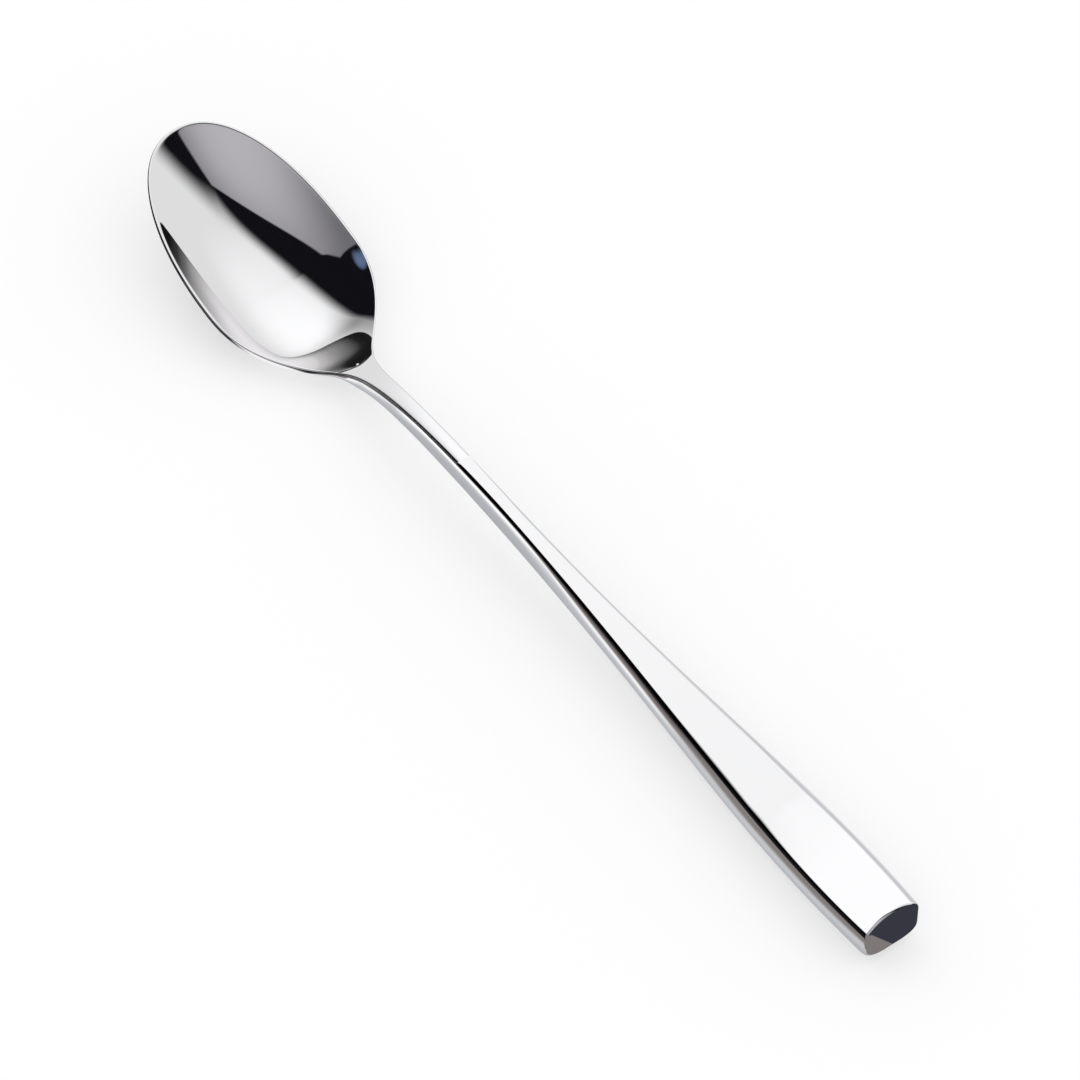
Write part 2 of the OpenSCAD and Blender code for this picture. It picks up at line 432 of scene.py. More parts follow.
@dataclass
class ForgedBlank:
    """The whole spoon as one closed shell, grown by extruding loops from a circle."""

    form: SpoonForm
    dish_loops: int = 60
    dish_first: float = 0.02
    dish_crowding: float = 1.35
    dish_last: float = 0.97
    # Extra loops where the hollow turns up to the rim, as shares of the way out
    edge_shares: tuple[float, ...] = (0.975, 0.982, 0.987, 0.991, 0.994, 0.9965, 0.9985, 1.0)
    slope_share: float = 0.99
    land_loops: int = 11
    land_crowding: float = 1.6
    land_steepest: float = 1.5
    belly_loops: int = 34
    belly_last: float = 0.02
    cut_ease_l: float = 6.0
    station_step: float = 1.0

    def columns(self) -> tuple[np.ndarray, np.ndarray, np.ndarray]:
        """Places the columns of the bowl's loops round its outline.

        Returns:
            Places s, places y and the inward directions in plan, one row a column. They start on the
            cut behind the bowl and run round the tip and back.
        """
        form = self.form
        corner = float(form.half_width(np.array(form.bowl_l)))
        cut_y = np.linspace(-corner, corner, CUT_COLUMNS + 1)
        s_flank = form.bowl_l * (1.0 - np.cos(np.linspace(0.0, math.pi / 2.0, FLANK_SAMPLES)))
        s_flank = np.unique(np.clip(s_flank, 0.0, form.bowl_l))
        y_flank = form.half_width(s_flank)
        y_flank[0] = 0.0
        run = np.concatenate([[0.0], np.cumsum(np.hypot(np.diff(s_flank), np.diff(y_flank)))])
        wanted = np.linspace(0.0, run[-1], FLANK_COLUMNS // 2 + 1)
        s_half = np.interp(wanted, run, s_flank)
        y_half = np.interp(wanted, run, y_flank)
        s_half[-1], y_half[-1] = form.bowl_l, corner
        s_all = np.concatenate([np.full(CUT_COLUMNS, form.bowl_l), s_half[::-1], s_half[1:-1]])
        y_all = np.concatenate([cut_y[:-1], y_half[::-1], -y_half[1:-1]])
        tangent = np.stack([np.roll(s_all, -1) - np.roll(s_all, 1), np.roll(y_all, -1) - np.roll(y_all, 1)])
        inward = np.stack([-tangent[1], tangent[0]])
        inward /= np.hypot(inward[0], inward[1])
        toward = np.stack([form.bowl_front_l - s_all, -y_all])
        inward *= np.sign((inward * toward).sum(0))
        on_cut = s_all > form.bowl_l - TOUCH
        sideways = np.stack([np.zeros_like(y_all), -np.sign(y_all)])
        way = ease((s_all - form.bowl_l + self.cut_ease_l) / self.cut_ease_l)
        way[on_cut] = 1.0
        inward = inward * (1.0 - way) + sideways * way
        inward /= np.maximum(np.hypot(inward[0], inward[1]), TOUCH)
        return s_all, y_all, inward.T

    def hollow_points(self, s: np.ndarray, y: np.ndarray) -> tuple[np.ndarray, np.ndarray]:
        """Finds the hollow's outline on the lines from the bowl's centre to the given points.

        Args:
            s: The points' places along the spoon.
            y: Their places across it.

        Returns:
            The outline's places along the spoon and across it.
        """
        form = self.form
        along, across = s - form.bowl_front_l, y
        low, high = np.zeros_like(s), np.ones_like(s)
        for _ in range(HALVINGS):
            share = (low + high) / 2.0
            at_s, at_y = form.bowl_front_l + along * share, np.abs(across) * share
            inside = ((at_s < form.hollow_l) & (at_s > form.rim_land)
                      & (at_y <= form.hollow_half(at_s)))
            low = np.where(inside, share, low)
            high = np.where(inside, high, share)
        return form.bowl_front_l + along * low, across * low

    def top_loops(self, in_s: np.ndarray, in_y: np.ndarray) -> list[np.ndarray]:
        """Works out the loops of the bowl's top, from the hollow's centre over its edge and the flat land.

        Args:
            in_s: Places along the spoon where the rounding of the rim starts.
            in_y: Their places across it.

        Returns:
            One array of points a loop, in millimetres, with the spoon's place s as x.
        """
        form = self.form
        hollow_s, hollow_y = self.hollow_points(in_s, in_y)
        centre = form.bowl_front_l
        loops = []

        def add_loop(at_s: np.ndarray, at_y: np.ndarray, depth: np.ndarray) -> None:
            """Adds a loop at the given depth below the rim line."""
            smooth = smooth_max(depth, np.zeros_like(depth), form.rim_round)
            z = form.edge_height(at_s) + form.crown_at(at_s, at_y) - smooth
            loops.append(np.stack([at_s, at_y, z], 1))

        shares = 1.0 - (1.0 - np.linspace(self.dish_first, 1.0, self.dish_loops)) ** self.dish_crowding
        for share in np.concatenate([shares[shares < self.dish_last], self.edge_shares]):
            at_s, at_y = centre + (hollow_s - centre) * share, hollow_y * share
            add_loop(at_s, at_y, form.dish_depth(at_s, at_y))
        near = self.slope_share
        near_depth = form.dish_depth(centre + (hollow_s - centre) * near, hollow_y * near)
        radius = np.hypot(hollow_s - centre, hollow_y)
        fall = np.minimum(near_depth / ((1.0 - near) * radius), self.land_steepest)
        gap = np.hypot(in_s - hollow_s, in_y - hollow_y)
        for share in np.linspace(0.0, 1.0, self.land_loops)[1:] ** self.land_crowding:
            at_s = hollow_s + (in_s - hollow_s) * share
            at_y = hollow_y + (in_y - hollow_y) * share
            add_loop(at_s, at_y, -fall * gap * share)
        return loops

    def bowl_loops(self) -> list[np.ndarray]:
        """Works out the bowl's loops, from the hollow's centre over the rim to the underside's centre.

        Returns:
            One array of points a loop, in millimetres, with the spoon's place s as x.
        """
        form = self.form
        s_out, y_out, inward = self.columns()
        on_cut = s_out > form.bowl_l - TOUCH
        corner = float(form.half_width(np.array(form.bowl_l)))

        def drawn_in(inset: np.ndarray) -> tuple[np.ndarray, np.ndarray]:
            """Returns the outline drawn in all round, and on the cut only sideways."""
            return (np.where(on_cut, s_out, s_out + inward[:, 0] * inset),
                    np.where(on_cut, y_out * (corner - inset) / corner, y_out + inward[:, 1] * inset))

        loops = self.top_loops(*drawn_in(form.edge_round(s_out)))
        top_line = loops[-1]
        insets, drops = form.wall(s_out)
        foot_s, foot_y = drawn_in(insets[-1])
        foot_line = np.stack([foot_s, foot_y, form.belly_z_free(foot_s, foot_y)], 1)
        inside_cut = on_cut & (np.abs(y_out) < corner - TOUCH)
        levels = len(insets) - 1
        for level in range(1, levels + 1):
            at_s, at_y = drawn_in(insets[level])
            loop = np.stack([at_s, at_y, form.edge_height(at_s) - drops[level]], 1)
            share = level / levels
            loop[inside_cut] = (top_line * (1.0 - share) + foot_line * share)[inside_cut]
            loops.append(loop)
        centre = form.bowl_front_l
        for share in np.linspace(1.0, self.belly_last, self.belly_loops)[1:]:
            at_s, at_y = centre + (foot_s - centre) * share, foot_y * share
            loops.append(np.stack([at_s, at_y, np.maximum(form.belly_z_free(at_s, at_y), 0.0)], 1))
        return loops

    def ring(self, s: float, count_top: int, inset: float = 0.0) -> np.ndarray:
        """Works out one cross section of the neck or handle as a closed ring.

        Args:
            s: Its place along the spoon.
            count_top: Number of steps across the top and across the belly.
            inset: How far the section is drawn in on all sides.

        Returns:
            Points along the top from one side to the other, down the side, back along the belly and up.
        """
        form = self.form
        place = np.array([s])
        insets, drops = form.wall(place)
        insets, drops = insets[:, 0], drops[:, 0]
        width = float(form.half_width(place)[0])
        edge = float(form.edge_height(place)[0])
        across = np.linspace(-1.0, 1.0, count_top + 1)
        top_y = across * (width - insets[0])
        top_z = edge + form.crown_at(np.full_like(top_y, s), top_y)
        foot_y = across[::-1] * (width - insets[-1])
        foot_z = form.belly_z_free(np.full_like(foot_y, s), foot_y)
        side_y, side_z = width - insets[1:-1], edge - drops[1:-1]
        y = np.concatenate([top_y, side_y, foot_y, -side_y[::-1]])
        z = np.concatenate([top_z, side_z, foot_z, side_z[::-1]])
        z = np.maximum(z, 0.0)
        z += float(form.end_lift(place)[0]) * limit((edge - z) / form.end_t) ** 2
        middle, half = (z.max() + z.min()) / 2.0, (z.max() - z.min()) / 2.0
        y *= 1.0 - inset / width
        z = middle + (z - middle) * (1.0 - inset / half)
        lean = form.lean(np.full_like(z, s), edge - z)
        return np.stack([s - lean, y, z], 1)

    def build(self) -> bpy.types.Object:
        """Grows the whole shell.

        Returns:
            The closed spoon, in metres in the part's frame.
        """
        form = self.form
        loops = self.bowl_loops()
        count = len(loops[0])
        bpy.ops.object.select_all(action="DESELECT")
        bpy.ops.mesh.primitive_circle_add(vertices=count, radius=MM, fill_type="NOTHING",
                                          location=(0.0, 0.0, 0.0))
        blank = bpy.context.object
        blank.name = "forged_blank"
        bpy.ops.object.mode_set(mode="EDIT")
        bpy.ops.mesh.select_mode(type="VERT")
        mesh = bmesh.from_edit_mesh(blank.data)
        column = mesh.verts.layers.int.new("column")
        mesh.verts.ensure_lookup_table()
        for index, vert in enumerate(mesh.verts):
            vert[column] = index
        bpy.ops.mesh.select_all(action="SELECT")
        self.lay(blank, loops[0])
        for loop in loops[1:]:
            bpy.ops.mesh.extrude_edges_indiv()
            self.lay(blank, loop)
        self.close_centres()
        self.open_cut(blank)
        self.number_ring(blank, self.ring(form.bowl_l, CUT_COLUMNS))
        for s, inset in self.stations():
            bpy.ops.mesh.extrude_edges_indiv()
            self.lay(blank, self.ring(s, CUT_COLUMNS, inset))
        bpy.ops.mesh.edge_face_add()
        bpy.ops.mesh.select_all(action="SELECT")
        bpy.ops.mesh.normals_make_consistent(inside=False)
        bpy.ops.mesh.select_all(action="DESELECT")
        bpy.ops.object.mode_set(mode="OBJECT")
        return blank

    def stations(self) -> list[tuple[float, float]]:
        """Places the sections behind the bowl, closer together over the rounded end.

        Returns:
            The place of each section and how far it is drawn in.
        """
        form = self.form
        lift_start = form.spoon_l - form.end_lift_l
        lift_l = form.end_lift_l - form.end_round
        turns = np.linspace(0.0, math.pi / 2.0, LIFT_POINTS + 1)[1:]
        places = [(float(s), 0.0) for s in np.arange(form.bowl_l, lift_start, self.station_step)[1:]]
        places += [(lift_start, 0.0)]
        places += [(lift_start + lift_l * math.sin(turn), 0.0) for turn in turns]
        for turn in np.linspace(0.0, math.pi / 2.0, END_POINTS + 1)[1:]:
            places.append((form.spoon_l - form.end_round * (1.0 - math.sin(turn)),
                           form.end_round * (1.0 - math.cos(turn))))
        return places

    def lay(self, blank: bpy.types.Object, points: np.ndarray) -> None:
        """Puts the selected loop's vertices at their columns' points.

        Args:
            blank: The object in edit mode.
            points: One point a column, in millimetres, with the place s as x.
        """
        mesh = bmesh.from_edit_mesh(blank.data)
        column = mesh.verts.layers.int["column"]
        for vert in mesh.verts:
            if vert.select:
                s, y, z = points[vert[column]]
                vert.co = ((s - self.form.middle) * MM, y * MM, z * MM)
        bmesh.update_edit_mesh(blank.data, loop_triangles=False, destructive=False)

    def close_centres(self) -> None:
        """Closes the small rings left at the centre of the hollow and of the underside."""
        select_open()
        bpy.ops.mesh.edge_face_add()
        bpy.ops.mesh.select_all(action="DESELECT")

    def open_cut(self, blank: bpy.types.Object) -> None:
        """Takes out the faces on the cut behind the bowl, so that the neck can grow from it."""
        cut_x = (self.form.bowl_l - self.form.middle) * MM
        bpy.ops.mesh.select_mode(type="FACE")
        bpy.ops.mesh.select_all(action="DESELECT")
        mesh = bmesh.from_edit_mesh(blank.data)
        for face in mesh.faces:
            face.select = all(abs(vert.co.x - cut_x) < TOUCH_M for vert in face.verts)
        bmesh.update_edit_mesh(blank.data)
        bpy.ops.mesh.delete(type="FACE")
        bpy.ops.mesh.select_mode(type="VERT")
        select_open()

    def number_ring(self, blank: bpy.types.Object, ring: np.ndarray) -> None:
        """Numbers the open loop's vertices by the nearest point of a ring.

        Args:
            blank: The object in edit mode, with the loop selected.
            ring: The ring's points in millimetres.
        """
        mesh = bmesh.from_edit_mesh(blank.data)
        column = mesh.verts.layers.int["column"]
        used = {}
        for vert in mesh.verts:
            if vert.select:
                place = np.array([vert.co.x / MM + self.form.middle, vert.co.y / MM, vert.co.z / MM])
                index = int(np.argmin(((ring - place) ** 2).sum(1)))
                vert[column] = index
                used[index] = float(np.sqrt(((ring[index] - place) ** 2).sum()))
        log.info("ring of %d points, %d found, farthest %.4f mm", len(ring), len(used), max(used.values()))


@dataclass
class Wiring:
    """The shader nodes of one material or world, each added together with what goes into it."""

    tree: bpy.types.NodeTree

    @classmethod
    def clear(cls, owner: bpy.types.Material | bpy.types.World) -> "Wiring":
        """Returns the wiring of a material or world whose first nodes are taken out."""
        owner.use_nodes = True
        owner.node_tree.nodes.clear()
        return cls(owner.node_tree)

    def feed(self, node: bpy.types.Node, given: dict[int | str, Given]) -> bpy.types.Node:
        """Links or sets some inputs of a node.

        Args:
            node: The node.
            given: For each input a socket to link, a node whose first output is linked, or a value.

        Returns:
            The same node.
        """
        for name, value in given.items():
            socket = node.inputs[name]
            if isinstance(value, bpy.types.Node):
                value = value.outputs[0]
            if isinstance(value, bpy.types.NodeSocket):
                self.tree.links.new(value, socket)
            elif socket.type == "RGBA":
                socket.default_value = (*value, 1.0)
            else:
                socket.default_value = value
        return node

    def add(self, kind: str, given: dict[int | str, Given] | None = None) -> bpy.types.Node:
        """Adds a node of a kind, named without the word ShaderNode, and feeds it."""
        return self.feed(self.tree.nodes.new("ShaderNode" + kind), given or {})

    def reckon(self, kind: str, a: Given, b: Given) -> bpy.types.NodeSocket:
        """Returns the result of a Math node."""
        node = self.add("Math", {0: a, 1: b})
        node.operation = kind
        return node.outputs[0]

    def vector(self, kind: str, a: Given, b: Given = (0.0, 0.0, 0.0)) -> bpy.types.Node:
        """Returns a Vector Math node."""
        node = self.add("VectorMath", {0: a, 1: b})
        node.operation = kind
        return node

    def place(self) -> bpy.types.Node:
        """Returns a node with the place on the surface in the part's frame, in millimetres."""
        surface = self.add("TexCoord").outputs["Object"]
        return self.vector("DIVIDE", surface, (MM, MM, MM))

    def span(self, value: Given, low: float, high: float, start: float = 0.0, end: float = 1.0,
             kind: str = "SMOOTHSTEP") -> bpy.types.NodeSocket:
        """Follows a value over a stretch and stays level outside it.

        Args:
            value: The value.
            low: Where the stretch starts.
            high: Where it ends.
            start: The result up to low.
            end: The result from high on.
            kind: How it goes from one to the other.

        Returns:
            The result.
        """
        node = self.add("MapRange", {"Value": value, "From Min": low, "From Max": high,
                                     "To Min": start, "To Max": end})
        node.interpolation_type = kind
        return node.outputs["Result"]

    def blend(self, factor: Given, a: Given, b: Given, kind: str = "MIX") -> bpy.types.NodeSocket:
        """Blends two colours.

        Args:
            factor: The share of the second colour.
            a: The first colour.
            b: The second.
            kind: How they are blended.

        Returns:
            The blended colour.
        """
        node = self.add("Mix")
        node.data_type = "RGBA"
        node.blend_type = kind
        return self.feed(node, {"Factor": factor, "A": a, "B": b}).outputs["Result"]

    def ramp(self, value: Given, stops: Stops, low: float, high: float) -> bpy.types.NodeSocket:
        """Follows a value through a row of colours or levels.

        Args:
            value: The value.
            stops: The colour or level at each of some values, in rising order.
            low: The lowest value that the ramp covers.
            high: The highest.

        Returns:
            The colour.
        """
        node = self.add("ValToRGB", {"Fac": self.span(value, low, high, kind="LINEAR")})
        elements = node.color_ramp.elements
        for index, (at, shown) in enumerate(stops):
            position = (at - low) / (high - low)
            # A new ramp has two elements already, and others keep their order only if made in place
            element = elements[index] if index < 2 else elements.new(position)
            element.position = position
            element.color = (*shown, 1.0) if isinstance(shown, tuple) else (shown, shown, shown, 1.0)
        return node.outputs["Color"]

    def mix(self, factor: Given, a: Given, b: Given) -> bpy.types.Node:
        """Returns the mix of two shaders."""
        return self.add("MixShader", {0: factor, 1: a, 2: b})


@dataclass(frozen=True)
class PolishedSteel:
    """The mirror polish of the whole spoon, with the faint lines and wear that a buffed spoon shows."""

    color: Color = (0.82, 0.82, 0.83)
    roughness: float = 0.022
    smoothest_share: float = 0.6
    roughest_share: float = 1.5
    # How fine the polishing lines are, per metre along the spoon, across it and upward
    lines: tuple[float, float, float] = (60.0, 900.0, 900.0)
    line_detail: float = 4.0

    def build(self) -> bpy.types.Material:
        """Returns the material."""
        material = bpy.data.materials.new("polished_steel")
        material.use_nodes = True
        wiring = Wiring(material.node_tree)
        surface = wiring.add("TexCoord").outputs["Object"]
        stretch = wiring.add("Mapping", {"Vector": surface, "Scale": self.lines})
        noise = wiring.add("TexNoise", {"Vector": stretch, "Scale": 1.0, "Detail": self.line_detail})
        spread = wiring.span(noise.outputs["Fac"], 0.0, 1.0, self.roughness * self.smoothest_share,
                             self.roughness * self.roughest_share, "LINEAR")
        shader = material.node_tree.nodes["Principled BSDF"]
        shader.inputs["Roughness"].default_value = self.roughness
        wiring.feed(shader, {"Metallic": 1.0, "Base Color": self.color, "Roughness": spread})
        return material


# How far the one large face that closes the handle's end faces along x, at least
END_FACING = 0.9


@dataclass
class Spoon:
    """The spoon cut into its named pieces."""

    form: SpoonForm
    finish: PolishedSteel

    def build(self) -> None:
        """Models the blank, cuts it and dresses the pieces."""
        blank = ForgedBlank(self.form).build()
        self.pick(blank)
        bpy.ops.object.shade_smooth()
        self.keep_normals(blank)
        material = self.finish.build()
        blank.data.materials.append(material)
        form = self.form
        spans = {Piece.BOWL: (None, form.bowl_l),
                 Piece.NECK: (form.bowl_l, form.neck_end),
                 Piece.HANDLE: (form.neck_end, None)}
        for piece, (start, end) in spans.items():
            part = self.cut(blank, piece, start, end)
            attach(part, "root")
            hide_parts(piece.value)
            log.info("%s: %d faces", part.name, len(part.data.polygons))
        bpy.data.objects.remove(blank)

    def pick(self, chosen: bpy.types.Object) -> None:
        """Selects one object alone and makes it the active one."""
        bpy.ops.object.select_all(action="DESELECT")
        chosen.select_set(True)
        bpy.context.view_layer.objects.active = chosen

    def keep_normals(self, blank: bpy.types.Object) -> None:
        """Stores the whole shell's smooth normals on its points, so that the cut pieces share them."""
        mesh = blank.data
        normals = np.zeros(len(mesh.vertices) * 3, np.float32)
        mesh.vertex_normals.foreach_get("vector", normals)
        store = mesh.attributes.new("whole_normal", "FLOAT_VECTOR", "POINT")
        store.data.foreach_set("vector", normals)

    def cut(self, blank: bpy.types.Object, piece: Piece, start: float | None,
            end: float | None) -> bpy.types.Object:
        """Cuts one piece out of a copy of the blank.

        Args:
            blank: The whole shell.
            piece: Which piece it becomes.
            start: Place of its front cut, or None at the tip.
            end: Place of its back cut, or None at the handle's end.

        Returns:
            The closed piece.
        """
        part = bpy.data.objects.new("spoon_" + piece.value, blank.data.copy())
        bpy.context.scene.collection.objects.link(part)
        self.pick(part)
        bpy.ops.object.mode_set(mode="EDIT")
        for place, inner, outer in ((start, True, False), (end, False, True)):
            if place is not None:
                bpy.ops.mesh.select_all(action="SELECT")
                bpy.ops.mesh.bisect(plane_co=((place - self.form.middle) * MM, 0.0, 0.0),
                                    plane_no=(1.0, 0.0, 0.0), use_fill=True,
                                    clear_inner=inner, clear_outer=outer, threshold=TOUCH_M)
        bpy.ops.object.mode_set(mode="OBJECT")
        cuts = [(place - self.form.middle) * MM for place in (start, end) if place is not None]
        self.give_normals(part, cuts)
        return part

    def give_normals(self, part: bpy.types.Object, cuts: list[float]) -> None:
        """Gives a piece the whole shell's normals, and flat ones on its cuts and the handle's end.

        Args:
            part: The piece.
            cuts: Where it was cut, as x in metres.
        """
        mesh = part.data
        stored = np.zeros(len(mesh.vertices) * 3, np.float32)
        mesh.attributes["whole_normal"].data.foreach_get("vector", stored)
        stored = stored.reshape(-1, 3)
        corners = np.zeros(len(mesh.loops), np.int32)
        mesh.loops.foreach_get("vertex_index", corners)
        normals = stored[corners]
        for face in mesh.polygons:
            xs = [mesh.vertices[v].co.x for v in face.vertices]
            on_cut = any(max(abs(x - place) for x in xs) < TOUCH_M for place in cuts)
            at_end = len(xs) > 4 and face.normal.x > END_FACING
            if on_cut or at_end:
                first = face.loop_start
                normals[first:first + face.loop_total] = face.normal
        mesh.normals_split_custom_set(normals.tolist())
        mesh.attributes.remove(mesh.attributes["whole_normal"])


def direction(azimuth: float, elevation: float) -> Vector:
    """Returns the unit vector to a point of the studio, from its azimuth and elevation in degrees."""
    a, e = math.radians(azimuth), math.radians(elevation)
    return Vector((math.cos(e) * math.cos(a), math.cos(e) * math.sin(a), math.sin(e)))


def in_radians(stops: Stops) -> Stops:
    """Returns stops in radians from stops in degrees."""
    return tuple((at, math.radians(angle)) for at, angle in stops)


def add_plane(name: str, size: float, place: tuple[float, float, float],
              turn: tuple[float, float, float]) -> bpy.types.Object:
    """Adds a square of the studio.

    Args:
        name: Its name.
        size: Its side in millimetres.
        place: Its middle in millimetres.
        turn: Its rotation in radians.

    Returns:
        The square, with its place and turn in its mesh.
    """
    bpy.ops.object.select_all(action="DESELECT")
    bpy.ops.mesh.primitive_plane_add(size=size * MM, location=Vector(place) * MM, rotation=turn)
    bpy.ops.object.transform_apply(location=True, rotation=True, scale=True)
    plane = bpy.context.object
    plane.name = name
    return plane


@dataclass(frozen=True)
class HandleCard:
    """The large white card that only the top of the handle shows, upright across the spoon at its start.

    Lengths are millimetres. Angles are degrees round the apex, and the distances in the stops are from it.
    """

    apex: tuple[float, float, float] = (-15.5, -1.2, 9.4)
    side: float = 1600.0
    reach: float = 250.0
    # Where the white starts on the near side, by the distance, in degrees from upright
    starts: Stops = ((20.0, 2.0), (45.0, 15.0), (63.0, 22.0), (100.0, 47.0), (134.0, 65.0), (170.0, 68.0),
                     (250.0, 71.0))
    start_soft: float = 5.0
    # Where it starts to fade on the far side
    fades: Stops = ((0.0, 90.0), (12.0, 58.0), (30.0, 39.0), (63.0, 48.0), (134.0, 90.0), (170.0, 102.0))
    fade_angle: float = 17.0
    faded: float = 0.63
    levels: Stops = ((0.0, 1.13), (30.0, 1.13), (150.0, 1.09), (200.0, 1.2))
    lowest: float = -125.0

    def build(self) -> bpy.types.Object:
        """Returns the card, clear from behind and below its lowest angle."""
        card = add_plane("handle_card", self.side, self.apex, (0.0, math.pi / 2.0, 0.0))
        material = bpy.data.materials.new("handle_card")
        wiring = Wiring.clear(material)
        arm = wiring.vector("SUBTRACT", wiring.place(), self.apex)
        parts = wiring.add("SeparateXYZ", {0: arm}).outputs
        turn = wiring.reckon("ARCTAN2", parts["Y"], parts["Z"])
        distance = wiring.vector("LENGTH", arm).outputs["Value"]
        soft = math.radians(self.start_soft)
        start = wiring.ramp(distance, in_radians(self.starts), 0.0, self.reach)
        past = wiring.reckon("ADD", turn, start)
        fade = wiring.ramp(distance, in_radians(self.fades), 0.0, self.reach)
        over = wiring.reckon("SUBTRACT", turn, fade)
        far = wiring.span(over, 0.0, math.radians(self.fade_angle), 1.0, self.faded)
        level = wiring.ramp(distance, self.levels, 0.0, self.reach)
        strength = wiring.reckon("MULTIPLY", far, wiring.span(past, -soft, soft))
        white = wiring.add("Emission", {"Color": level, "Strength": strength})
        front = wiring.reckon("SUBTRACT", 1.0, wiring.add("NewGeometry").outputs["Backfacing"])
        above = wiring.reckon("GREATER_THAN", turn, math.radians(self.lowest))
        shown = wiring.mix(wiring.reckon("MULTIPLY", front, above), wiring.add("BsdfTransparent"), white)
        wiring.add("OutputMaterial", {"Surface": shown})
        card.data.materials.append(material)
        card.visible_camera = card.visible_diffuse = False
        card.visible_shadow = card.visible_transmission = False
        return card


# The edge of the painted light strip that the steel's near side shows of the table: places along x and how
# far beside y = 0
STRIP_LINE = ((-47.0, 7.6), (-45.0, 7.1), (-43.4, 5.95), (-40.0, 5.15), (-35.5, 5.5), (-28.0, 5.7),
              (-20.0, 5.6), (-3.0, 5.1), (13.0, 4.15), (31.0, 4.5), (48.0, 5.55), (60.0, 6.25),
              (71.0, 6.95), (81.0, 7.3), (95.0, 7.5))
# Its colours, by the distance beyond that line: its painted light side, and with its painted shade side by
# the handle's rear and farther forward
STRIP_LIGHT = ((-4.0, (0.49, 0.50, 0.53)), (-2.0, (0.50, 0.51, 0.54)), (-1.0, (0.57, 0.58, 0.60)),
               (-0.5, (0.66, 0.67, 0.69)), (-0.2, (0.62, 0.62, 0.62)))
STRIP_REAR = STRIP_LIGHT + (
    (0.1, (0.32, 0.305, 0.30)), (0.4, (0.245, 0.225, 0.215)), (1.6, (0.29, 0.27, 0.26)),
    (2.5, (0.20, 0.18, 0.175)), (4.0, (0.05, 0.045, 0.045)), (7.0, (0.010, 0.010, 0.012)))
STRIP_FRONT = STRIP_LIGHT + (
    (0.1, (0.30, 0.285, 0.28)), (0.3, (0.21, 0.19, 0.185)), (0.8, (0.18, 0.16, 0.155)),
    (1.2, (0.07, 0.06, 0.058)), (1.8, (0.02, 0.018, 0.018)), (3.5, (0.004, 0.004, 0.005)))
# The painted glint, a painted highlight added along the line, narrow and wide
GLINT_NARROW = ((-0.6, 0.0), (-0.35, 0.3), (-0.15, 0.55), (0.0, 0.3), (0.12, 0.0))
GLINT_WIDE = ((-1.3, 0.0), (-0.8, 0.45), (-0.3, 0.8), (0.2, (0.8, 0.79, 0.78)), (0.7, 0.05), (1.1, 0.0))


